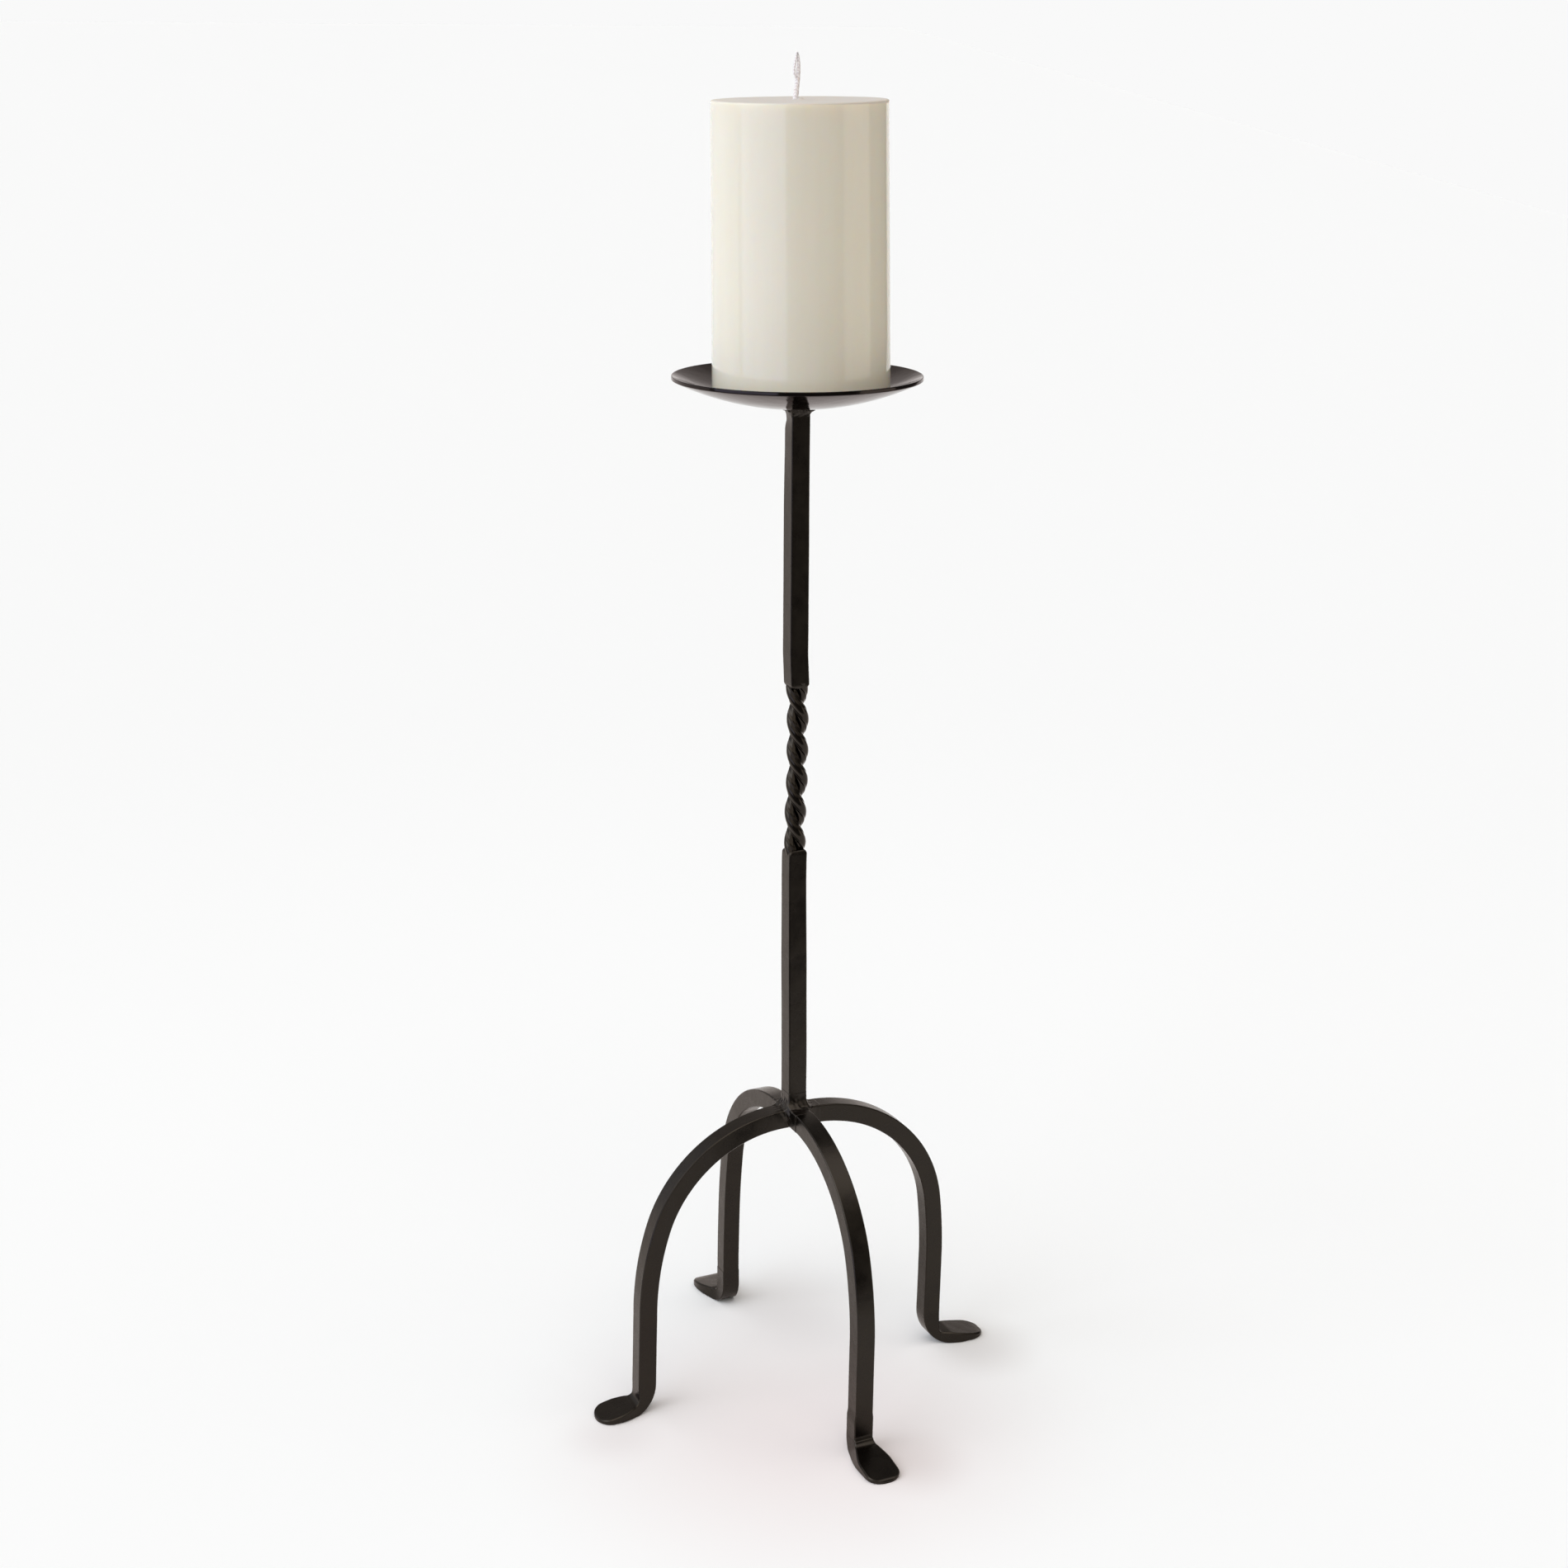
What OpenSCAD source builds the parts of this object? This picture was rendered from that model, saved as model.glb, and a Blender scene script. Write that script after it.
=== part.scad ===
// Candle stand: a dished drip pan on a forged square stem with a two-strand
// twist, standing on four arched legs whose ends are hammered into flat feet.
// A pillar candle stands in the pan.
// Millimetres, +Z up. The origin is on the floor, on the axis of the stem.
// One leg points along each of -X (left), -Y (front), +X (right), +Y (back).

/* [Drip pan] */
// Diameter over the rim of the pan
pan_d = 108; // [96:1:160]
// Height of the rim's outer edge above the lowest point of the pan
pan_rise = 12.2; // [8:0.1:20]
// Thickness of the pan's sheet
pan_sheet = 1.6; // [1:0.1:3]

/* [Stem] */
// Side of the square stem bar
stem_bar = 8.4; // [8.1:0.1:12]
// Length of the bar between the twist and the pan
upper_len = 123.1; // [60:0.1:250]
// Length of the bar between the legs' top faces and the twist
lower_len = 126.3; // [60:0.1:250]
// Radius of the bar's rounded ends next to the twist
bar_end_r = 1.8; // [0.5:0.1:2.4]

/* [Twist] */
// Length of the twisted pair
twist_len = 78; // [40:1:160]
// Half turns from one end of the pair to the other
half_turns = 5.4; // [2:0.1:10]
// Direction, seen from above, of the pair at its lower end
twist_start = 27; // [0:1:180]
// Width over both strands
pair_w = 9.4; // [7:0.1:12]
// Thickness of one strand
strand_t = 5.6; // [4:0.1:6.6]
// Corner radius of a strand
strand_r = 1.5; // [0.8:0.1:1.7]

/* [Legs] */
// Side of the square leg bar
leg_bar = 8.1; // [6:0.1:8.4]
// Height of the legs' top faces where they meet the stem
leg_top = 141.2; // [100:0.1:220]
// Distance from the axis to the middle of an upright leg
leg_reach = 75.2; // [60:0.1:110]
// Straight run of a leg before its arch begins
crown_run = 5; // [4:0.1:8]
// Angle that the arch's shoulder turns through before the flatter flank
shoulder_turn = 76; // [50:1:80]
// Radius of that flank, to the middle of the bar
flank_r = 115; // [70:1:220]

/* [Feet] */
// Length of a foot, from the upright's outer face to its tip
foot_len = 25; // [16:0.1:40]
// Greatest width of a foot
foot_w = 16.6; // [10:0.1:24]
// Thickness of a foot where it leaves the bend
foot_neck_t = 7; // [4:0.1:8]
// Thickness of a foot at its toe
toe_t = 2.6; // [1.2:0.1:3.5]
// Outside radius of the heel
heel_r = 10; // [5:0.5:14]
// Inside radius of the bend above the foot
bend_r = 1.6; // [0.6:0.1:4]

/* [Welds] */
// How far the weld bead under the pan spreads from the stem
pan_weld_run = 1.7; // [0.8:0.1:3]
// How far that bead climbs down the stem
pan_weld_drop = 3; // [1:0.1:6]
// How far the bead on top of a leg spreads along the leg
leg_weld_run = 2.9; // [1:0.1:3.8]
// How far that bead climbs up the stem
leg_weld_rise = 5; // [2:0.1:9]
// Radius of the bead in the corner between two legs
corner_weld_r = 2; // [0.8:0.1:3]

/* [Candle] */
// Diameter of the candle at its foot
candle_d = 76.5; // [50:0.5:80]
// Diameter of the candle at its top
candle_top_d = 74.6; // [50:0.5:80]
// Height of the candle without its wick
candle_h = 119.6; // [60:0.1:200]
// Radius of the candle's rounded edges
candle_edge_r = 1.4; // [0.4:0.1:3]
// Diameter of the wick
wick_d = 1.6; // [1:0.1:3]
// Height of the wick above the candle
wick_rise = 19.6; // [13:0.2:30]
// Length of the folded-down end of the wick
wick_fold = 10.5; // [3:0.5:12]

/* [Hidden] */
$fn = 96;
iron = "#2c2927";
bead = "#35312e";
wax = "#e8e3d3";
cotton = "#f1efe9";

// Running gap between the two strands of the twist
strand_gap = 0.1;
// Gap between the candle's foot and the pan's dish
seat_gap = 0.2;
// Gap between the wick and its hole in the wax, and between its folded runs
wick_gap = 0.05;
// Rounding of a bar's end that is cut square
square_cut = 0.01;
// How far a cutting shape runs past what it cuts
over = 1;
// Share of a foot's length at which it reaches its full width
full_width_at = 0.66;
// Bluntness of a foot's tip: 2 is a half round, higher is squarer
toe_power = 6;
// Points along the curves
small_steps = 6;
bead_steps = 8;
flank_steps = 5;
heel_steps = 12;
long_steps = 20;
// Facets round the pan, round its bead's hollow and round the wick
dish_facets = 180;
fit_facets = 540;
wick_facets = 32;
// Facets of the twist, round a strand and along it
strand_facets = 16;
slices_per_half_turn = 12;

stem_half = stem_bar / 2;
leg_half = leg_bar / 2;
twist_z = leg_top + lower_len;
upper_z = twist_z + twist_len;
stem_top = upper_z + upper_len;

// The pan is a cap of a sphere: its radius follows from the rim and the rise
pan_r = pan_d / 2;
dish_r = (pan_r * pan_r + pan_rise * pan_rise) / (2 * pan_rise);
dish_z = stem_top + dish_r;
rim_angle = asin(pan_r / dish_r);
inner_r = dish_r - pan_sheet;

// The candle stands on its rounded lower edge: the middle of that rounding lies on
// a circle of radius foot_ring_r, and edge_centre_r from the middle of the dish
foot_ring_r = candle_d / 2 - candle_edge_r;
edge_centre_r = inner_r - seat_gap - candle_edge_r;
candle_z = dish_z - sqrt(edge_centre_r * edge_centre_r - foot_ring_r * foot_ring_r) - candle_edge_r;
candle_top_z = candle_z + candle_h;

// The arch: a straight crown, a shoulder arc, a flatter flank arc, then upright
crown_z = leg_top - leg_half;
shoulder_x = stem_half + crown_run;
shoulder_r = (leg_reach - shoulder_x - flank_r * (1 - sin(shoulder_turn))) / sin(shoulder_turn);
shoulder_c = [shoulder_x, crown_z - shoulder_r];
flank_c = shoulder_c + (shoulder_r - flank_r) * [sin(shoulder_turn), cos(shoulder_turn)];
foot_x = leg_reach + leg_half;
toe_x = foot_x + foot_len;

// Points on an arc about a centre, from one angle to another, in a number of steps
function arc(c, r, from, to, steps) =
    [for (i = [0:steps]) let (a = from + (to - from) * i / steps) c + r * [cos(a), sin(a)]];

// One side of the arch, set off from the middle of the bar by d
function arch_side(d) = concat(
    [[stem_half, crown_z + d]],
    arc(shoulder_c, shoulder_r + d, 90, 90 - shoulder_turn, long_steps),
    arc(flank_c, flank_r + d, 90 - shoulder_turn - 1, 0, flank_steps));

function reversed(list) = [for (i = [len(list) - 1:-1:0]) list[i]];

// Half the width of a foot at a share u of its length, with a blunt round toe
function foot_half(u) =
    let (spread = min(u / full_width_at, 1), ease = spread * spread * (3 - 2 * spread))
    (leg_half + (foot_w / 2 - leg_half) * ease) * sqrt(1 - pow(u, toe_power));

module side_view() {
    toe_r = toe_t / 2;
    polygon(concat(
        arch_side(leg_half),
        arc([foot_x + bend_r, foot_neck_t + bend_r], bend_r, 180, 270, small_steps),
        arc([toe_x - toe_r, toe_r], toe_r, 90, -90, bead_steps),
        arc([leg_reach - leg_half + heel_r, heel_r], heel_r, 270, 180, heel_steps),
        reversed(arch_side(-leg_half))));
}

module plan_view() {
    shares = [for (i = [0:long_steps]) sin(90 * i / long_steps)];
    edge = [for (u = shares) [foot_x + u * foot_len, foot_half(u)]];
    polygon(concat(
        [[0, leg_half]],
        edge,
        reversed([for (p = edge) [p[0], -p[1]]]),
        [[0, -leg_half]]));
}

module leg(turn) {
    color(iron)
    rotate([0, 0, turn])
    intersection() {
        rotate([90, 0, 0])
        linear_extrude(height = foot_w, center = true)
        side_view();
        linear_extrude(height = leg_top)
        plan_view();
    }
}

module left_leg() { leg(180); }
module front_leg() { leg(270); }
module right_leg() { leg(0); }
module back_leg() { leg(90); }

// Bead in the corner between the stem and a leg's top face, and one between two legs
module leg_welds() {
    curve = [for (i = [0:bead_steps]) let (a = 90 * i / bead_steps)
        [stem_half + leg_weld_run * (1 - sin(a)), leg_top + leg_weld_rise * (1 - cos(a))]];
    color(bead)
    for (turn = [0:90:270]) rotate([0, 0, turn]) {
        rotate([90, 0, 0])
        linear_extrude(height = leg_bar, center = true)
        polygon(concat([[stem_half, leg_top]], curve));
        translate([0, 0, leg_top - leg_bar])
        linear_extrude(height = leg_bar)
        difference() {
            translate([leg_half, leg_half])
            square(corner_weld_r);
            translate([leg_half + corner_weld_r, leg_half + corner_weld_r])
            circle(corner_weld_r);
            square(stem_half);
        }
    }
}

// A square bar between two heights, its ends rounded by r_low and r_high on all sides
module bar(low, high, r_low, r_high) {
    intersection_for(turn = [0, 90])
    rotate([90, 0, turn])
    linear_extrude(height = stem_bar + 2 * over, center = true)
    polygon(concat(
        arc([stem_half - r_low, low + r_low], r_low, -90, 0, small_steps),
        arc([stem_half - r_high, high - r_high], r_high, 0, 90, small_steps),
        arc([r_high - stem_half, high - r_high], r_high, 90, 180, small_steps),
        arc([r_low - stem_half, low + r_low], r_low, 180, 270, small_steps)));
}

module lower_stem() {
    color(iron)
    bar(leg_top - leg_bar, twist_z, square_cut, bar_end_r);
}

module dish(r, facets = dish_facets) {
    translate([0, 0, dish_z])
    sphere(r, $fn = facets);
}

module upper_stem() {
    color(iron)
    difference() {
        bar(upper_z, stem_top + over, bar_end_r, square_cut);
        dish(dish_r);
    }
}

// One strand of the twist, which turns left-handed as it climbs
module strand(side) {
    w = (pair_w - strand_gap) / 2;
    h = strand_t;
    r = strand_r;
    mid = side * (w + strand_gap) / 2;
    slices = round(slices_per_half_turn * half_turns);
    color(iron)
    translate([0, 0, twist_z])
    rotate([0, 0, twist_start])
    linear_extrude(height = twist_len, twist = 180 * half_turns, slices = slices, $fn = strand_facets)
    translate([mid, 0])
    polygon(concat(
        arc([w / 2 - r, h / 2 - r], r, 90, 0, 3),
        arc([w / 2 - r, r - h / 2], r, 0, -90, 3),
        arc([r - w / 2, r - h / 2], r, -90, -180, 3),
        arc([r - w / 2, h / 2 - r], r, 180, 90, 3)));
}

module twist_strand_a() { strand(-1); }
module twist_strand_b() { strand(1); }

module drip_pan() {
    color(iron)
    difference() {
        intersection() {
            dish(dish_r);
            translate([0, 0, dish_z - dish_r])
            cylinder(h = dish_r, r1 = dish_r * tan(rim_angle), r2 = 0);
        }
        dish(inner_r);
    }
}

// Bead that spreads from the stem onto the underside of the pan
module pan_weld() {
    side = [for (i = [0:bead_steps]) let (a = 90 * i / bead_steps)
        [stem_half + pan_weld_run * (1 - cos(a)), stem_top - pan_weld_drop * (1 - sin(a))]];
    top = stem_top + pan_rise / 2;
    color(bead)
    difference() {
        intersection_for(turn = [0, 90])
        rotate([90, 0, turn])
        linear_extrude(height = stem_bar + 2 * (pan_weld_run + over), center = true)
        polygon(concat(
            side,
            [[stem_half + pan_weld_run, top], [-stem_half - pan_weld_run, top]],
            reversed([for (p = side) [-p[0], p[1]]])));
        translate([-stem_half, -stem_half, stem_top - pan_weld_drop - over])
        cube([stem_bar, stem_bar, pan_weld_drop + pan_rise + 2 * over]);
        dish(dish_r, fit_facets);
    }
}

module candle() {
    r = candle_edge_r;
    hole = wick_d / 2 + wick_gap;
    color(wax)
    translate([0, 0, candle_z])
    rotate_extrude()
    polygon(concat(
        [[hole, 0]],
        arc([candle_d / 2 - r, r], r, -90, 0, small_steps),
        arc([candle_top_d / 2 - r, candle_h - r], r, 0, 90, small_steps),
        [[hole, candle_h]]));
}

// The wick runs through the candle, and its free end is folded down beside it
module wick() {
    wick_r = wick_d / 2;
    fold_r = wick_r + wick_gap;
    bend_z = candle_top_z + wick_rise - fold_r - wick_r;
    color(cotton) {
        translate([0, 0, candle_z])
        cylinder(h = bend_z - candle_z, r = wick_r, $fn = wick_facets);
        translate([-fold_r, 0, bend_z])
        rotate([90, 0, 0])
        rotate_extrude(angle = 180, $fn = 48)
        translate([fold_r, 0])
        circle(wick_r, $fn = wick_facets);
        translate([-2 * fold_r, 0, bend_z - wick_fold])
        cylinder(h = wick_fold, r = wick_r, $fn = wick_facets);
    }
}

drip_pan();
pan_weld();
upper_stem();
twist_strand_a();
twist_strand_b();
lower_stem();
left_leg();
front_leg();
right_leg();
back_leg();
leg_welds();
candle();
wick();
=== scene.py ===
"""The looks of a forged candle stand with its pillar candle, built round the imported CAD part.

Lengths are in millimetres until a mesh is made, and the axes are the part's own: +Z up, the origin
on the floor under the stem, the legs along -X, -Y, +X and +Y.
"""
import math

import bpy
import numpy as np
from mathutils import Matrix, Vector, noise


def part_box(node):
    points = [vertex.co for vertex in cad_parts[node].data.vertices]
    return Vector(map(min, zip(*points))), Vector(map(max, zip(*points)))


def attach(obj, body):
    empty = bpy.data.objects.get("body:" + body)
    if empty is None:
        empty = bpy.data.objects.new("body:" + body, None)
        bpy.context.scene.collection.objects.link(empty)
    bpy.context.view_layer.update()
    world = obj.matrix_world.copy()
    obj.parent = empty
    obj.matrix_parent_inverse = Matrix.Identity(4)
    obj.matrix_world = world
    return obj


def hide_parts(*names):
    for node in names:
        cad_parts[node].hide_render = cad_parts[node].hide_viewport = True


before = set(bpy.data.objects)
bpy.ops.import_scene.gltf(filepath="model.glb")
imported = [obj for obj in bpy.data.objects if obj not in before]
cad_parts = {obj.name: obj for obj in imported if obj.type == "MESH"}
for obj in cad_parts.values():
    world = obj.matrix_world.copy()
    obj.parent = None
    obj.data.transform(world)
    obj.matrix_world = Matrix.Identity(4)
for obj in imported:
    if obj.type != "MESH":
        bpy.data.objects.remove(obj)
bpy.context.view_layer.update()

MM = 0.001  # metres


def low_corner(node):
    """Lowest corner of a node of the part, to a hundredth of a millimetre."""
    return [round(c / MM, 2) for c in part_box(node)[0]]


def high_corner(node):
    """Highest corner of a node of the part, to a hundredth of a millimetre."""
    return [round(c / MM, 2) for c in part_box(node)[1]]


# Sizes and heights of the part
STEM_BAR = 2 * high_corner("lower_stem")[0]
STEM_FOOT = low_corner("lower_stem")[2]
LEG_TOP = high_corner("left_leg")[2]
TWIST_LOW, TWIST_HIGH = high_corner("lower_stem")[2], low_corner("upper_stem")[2]
STEM_TOP = low_corner("drip_pan")[2]
PAN_RADIUS, PAN_SHEET, DISH_RADIUS = high_corner("drip_pan")[0], 1.6, 125.61
DISH_CENTRE = STEM_TOP + DISH_RADIUS

# The candle stands a hair higher than in the part and tapers to its top, as in the photo
CANDLE_LOW, CANDLE_TALL = low_corner("candle")[2] + 0.12, 119.85
CANDLE_TOP = CANDLE_LOW + CANDLE_TALL
CANDLE_FOOT_R, CANDLE_TOP_R = high_corner("candle")[0], 37.12

# The bar over its coat, and the radius of its filed corners
COATED_BAR, BAR_CORNER = 8.7, 0.6

# The photograph's side of the stand, its left-to-right direction on the floor, and its directions as vectors
VIEW_TURN = math.radians(-25.288)
VIEW_RIGHT = (math.cos(VIEW_TURN), math.sin(VIEW_TURN))
RIGHT = Vector((VIEW_RIGHT[0], VIEW_RIGHT[1], 0))
BACK = Vector((-VIEW_RIGHT[1], VIEW_RIGHT[0], 0))
UP = Vector((0, 0, 1))

# How far the stem stands off the axis, to the right of the picture, at some heights: it bows out at the twist
STEM_BOW = ((130, 0.55), (165, 0.55), (190, 0.4), (224, 0.2), (254, 0.0), (264, 0.05), (272, 0.35),
            (292, 0.5), (304, 1.2), (336, 1.1), (346, 0.55), (360, 0.0), (370, 0.05))


# ---------------------------------------------------------------- small tools

def colour(srgb_hex):
    """An sRGB colour in hex, as the linear values that the nodes take."""
    parts = [int(srgb_hex[i:i + 2], 16) / 255 for i in (1, 3, 5)]
    return tuple(c / 12.92 if c <= 0.04045 else ((c + 0.055) / 1.055) ** 2.4 for c in parts) + (1.0,)


def add_node(tree, kind, settings=None, **links):
    """Adds a node. Settings name its properties or inputs, or give an input's number; links join an input to
    another node's output, where _ stands for a space and i0 is the first input."""
    node = tree.nodes.new(kind)
    for name, value in (settings or {}).items():
        if isinstance(name, str) and hasattr(node, name):
            setattr(node, name, value)
        else:
            node.inputs[name].default_value = value
    for name, source in links.items():
        by_number = name[0] == "i" and name[1:].isdigit()
        socket = node.inputs[int(name[1:]) if by_number else name.replace("_", " ")]
        tree.links.new(source, socket)
    return node


def make_piece(name, points_mm, faces, material, body, node):
    """Adds a finished mesh piece: smooth shaded, with its material, on its body."""
    mesh = bpy.data.meshes.new(name)
    mesh.from_pydata([tuple(float(c) * MM for c in p) for p in points_mm], [], faces)
    mesh.validate()
    mesh.shade_smooth()
    mesh.materials.append(material)
    piece = bpy.data.objects.new(name, mesh)
    bpy.context.scene.collection.objects.link(piece)
    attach(piece, body)
    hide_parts(node)


def loft(rings):
    """Points and faces of a skin through rings of equal counts, with a flat cap on each end."""
    count = len(rings[0])
    points = [p for ring in rings for p in ring]
    faces = []
    for k in range(len(rings) - 1):
        for i in range(count):
            j = (i + 1) % count
            faces.append((k * count + i, k * count + j, (k + 1) * count + j, (k + 1) * count + i))
    faces.append(tuple(reversed(range(count))))
    faces.append(tuple((len(rings) - 1) * count + i for i in range(count)))
    return points, faces


def spin(profile, count):
    """Points and faces of a profile of (radius, height) turned round the axis, where it starts and ends."""
    points = [(0.0, 0.0, profile[0][1])]
    for r, z in profile[1:-1]:
        for i in range(count):
            a = 2 * math.pi * i / count
            points.append((r * math.cos(a), r * math.sin(a), z))
    points.append((0.0, 0.0, profile[-1][1]))
    last = len(points) - 1
    rows = len(profile) - 2
    faces = []
    for i in range(count):
        j = (i + 1) % count
        faces.append((0, 1 + j, 1 + i))
        for k in range(rows - 1):
            a = 1 + k * count
            faces.append((a + i, a + j, a + count + j, a + count + i))
        a = 1 + (rows - 1) * count
        faces.append((a + i, a + j, last))
    return points, faces


def soft_square(width, depth, corner):
    """Outline of a bar's section with soft corners. A short flat beside each corner keeps the faces flat
    under smooth shading."""
    longest_flat, least_half = 0.12, 0.02
    corner = min(corner, width / 2 - least_half, depth / 2 - least_half)
    outline = []
    for quarter, (sx, sy) in enumerate(((1, 1), (-1, 1), (-1, -1), (1, -1))):
        cx, cy = sx * (width / 2 - corner), sy * (depth / 2 - corner)
        start = quarter * math.pi / 2
        stop = start + math.pi / 2
        arc = []
        for degrees in (0, 11, 22, 68, 79, 90):
            a = start + math.radians(degrees)
            arc.append((cx + corner * math.cos(a), cy + corner * math.sin(a)))
        # The middle of each corner is a narrow flat, as filing leaves it
        filed = [tuple(arc[2][i] + (arc[3][i] - arc[2][i]) * t for i in (0, 1)) for t in (0.12, 0.88)]
        arc = arc[:3] + filed + arc[3:]
        before, after = (depth, width) if quarter % 2 == 0 else (width, depth)
        flat = min(longest_flat, (before / 2 - corner) * 0.8)
        outline.append((arc[0][0] + math.sin(start) * flat, arc[0][1] - math.cos(start) * flat))
        outline += arc
        flat = min(longest_flat, (after / 2 - corner) * 0.8)
        outline.append((arc[-1][0] - math.sin(stop) * flat, arc[-1][1] + math.cos(stop) * flat))
    return outline


def ease(t):
    """A smooth step from 0 to 1."""
    t = min(max(t, 0.0), 1.0)
    return t * t * (3 - 2 * t)


def wave(along, seed, length):
    """A slow hand-made waver, from -1 to 1, along a bar; each seed wavers in its own way."""
    seeds_apart = 7.31
    return noise.noise(Vector((along / length, seed * seeds_apart, 0.5)))


def bow(z):
    """How far the stem stands off the axis at a height, to the right of the picture."""
    heights, offsets = zip(*STEM_BOW)
    return float(np.interp(z, heights, offsets))


def bar_side(z):
    """Side of the stem bar: it comes a little fuller out of the bender below the twist."""
    fuller, begins, run = 0.36, 252, 40
    return COATED_BAR + fuller * ease((begins - z) / run)


# ---------------------------------------------------------------- materials

def new_material(name):
    """An empty material with its surface shader; gives the material, its node tree and the shader."""
    material = bpy.data.materials.new(name)
    material.use_nodes = True
    tree = material.node_tree
    tree.nodes.clear()
    surface = add_node(tree, "ShaderNodeBsdfPrincipled")
    add_node(tree, "ShaderNodeOutputMaterial", Surface=surface.outputs[0])
    return material, tree, surface


def blackened_steel(name, base, worn, edge_tint, rough, gloss_swing, grain_mm, grain_depth):
    """Blackened and waxed mild steel, hammered: a brown black that mirrors a little and has no colour of
    its own under the gloss. The gloss wavers over the soft hammer facets, some 7 mm apart, and the skin has
    a fine grain of about half a millimetre."""
    facet_mm, facet_depth = 7, 0.12
    material, tree, surface = new_material(name)
    place = add_node(tree, "ShaderNodeTexCoord").outputs["Object"]
    peel = add_node(tree, "ShaderNodeTexNoise",
                    {"Scale": 1 / (grain_mm * MM), "Detail": 3.0, "Roughness": 0.6}, Vector=place)
    facets = add_node(tree, "ShaderNodeTexNoise", {"Scale": 1 / (facet_mm * MM), "Detail": 2.0}, Vector=place)
    hammered = facets.outputs["Fac"]
    tone = add_node(tree, "ShaderNodeMix",
                    {"data_type": "RGBA", "A": colour(base), "B": colour(worn)}, Factor=hammered)
    # The noise keeps mostly between 0.3 and 0.7
    sheen = add_node(tree, "ShaderNodeMapRange",
                     {"From Min": 0.3, "From Max": 0.7, "To Min": rough - gloss_swing,
                      "To Max": rough + gloss_swing}, Value=hammered)
    fine = add_node(tree, "ShaderNodeBump",
                    {"Strength": 1.0, "Distance": grain_depth * MM}, Height=peel.outputs["Fac"])
    soft = add_node(tree, "ShaderNodeBump",
                    {"Strength": 1.0, "Distance": facet_depth * MM}, Height=hammered, Normal=fine.outputs[0])
    tree.links.new(tone.outputs["Result"], surface.inputs["Base Color"])
    tree.links.new(sheen.outputs[0], surface.inputs["Roughness"])
    tree.links.new(soft.outputs[0], surface.inputs["Normal"])
    surface.inputs["Metallic"].default_value = 1.0
    surface.inputs["Specular Tint"].default_value = colour(edge_tint)
    return material


# Base and worn colour, and the tint of the sheen at a glancing view
bar_coat = blackened_steel("blackened_steel_bar_waxed_satin", "#312d2a", "#38332d", "#fff8f4",
                           rough=0.28, gloss_swing=0.05, grain_mm=0.55, grain_depth=0.012)
twist_coat = blackened_steel("blackened_steel_twist_waxed_smooth", "#312d2a", "#38332d", "#fff8f4",
                             rough=0.15, gloss_swing=0.03, grain_mm=0.55, grain_depth=0.008)
bead_coat = blackened_steel("blackened_weld_bead_satin", "#312d2a", "#3c3732", "#fff8f4",
                            rough=0.30, gloss_swing=0.06, grain_mm=0.8, grain_depth=0.06)
pan_coat = blackened_steel("blackened_steel_sheet_polished", "#312c2a", "#35302e", "#efe8e6",
                           rough=0.10, gloss_swing=0.02, grain_mm=0.5, grain_depth=0.002)


def ivory_paraffin():
    """Cast paraffin wax: light goes a few millimetres in, the side is glossy from the polished mould, with
    faint upright streaks some 9 mm apart, and the poured top is matt and coloured darker, a painted shade."""
    streak_mm, dent_mm, dent_depth, glossy, matt = 9, 14, 0.05, 0.06, 0.75
    material, tree, surface = new_material("ivory_paraffin_wax_cast")
    place = add_node(tree, "ShaderNodeTexCoord").outputs["Object"]
    drawn_out = add_node(tree, "ShaderNodeMapping", {"Scale": (1.0, 1.0, 0.06)}, Vector=place).outputs[0]
    bloom = add_node(tree, "ShaderNodeTexNoise",
                     {"Scale": 1 / (streak_mm * MM), "Detail": 3.0}, Vector=drawn_out)
    tone = add_node(tree, "ShaderNodeMix",
                    {"data_type": "RGBA", "A": colour("#efe7d5"), "B": colour("#f4eddc")},
                    Factor=bloom.outputs["Fac"])
    height = add_node(tree, "ShaderNodeSeparateXYZ", i0=place).outputs["Z"]
    poured = add_node(tree, "ShaderNodeMapRange",
                      {"From Min": (CANDLE_TOP - 0.9) * MM, "From Max": (CANDLE_TOP - 0.35) * MM},
                      Value=height)
    # The poured top's darker colour is painted shade; its matt finish follows from the same mask
    top = add_node(tree, "ShaderNodeMix", {"data_type": "RGBA", "B": colour("#cac2ba")},
                   Factor=poured.outputs[0], A=tone.outputs["Result"])
    gloss = add_node(tree, "ShaderNodeMapRange", {"To Min": glossy, "To Max": matt}, Value=poured.outputs[0])
    dents = add_node(tree, "ShaderNodeTexNoise",
                     {"Scale": 1 / (dent_mm * MM), "Detail": 2.0}, Vector=drawn_out)
    bump = add_node(tree, "ShaderNodeBump",
                    {"Strength": 1.0, "Distance": dent_depth * MM}, Height=dents.outputs["Fac"])
    tree.links.new(top.outputs["Result"], surface.inputs["Base Color"])
    tree.links.new(gloss.outputs[0], surface.inputs["Roughness"])
    tree.links.new(bump.outputs[0], surface.inputs["Normal"])
    surface.inputs["IOR"].default_value = 1.47
    surface.inputs["Subsurface Weight"].default_value = 0.6
    surface.inputs["Subsurface Radius"].default_value = (1.0, 0.75, 0.5)
    surface.inputs["Subsurface Scale"].default_value = 4 * MM
    return material


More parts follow.
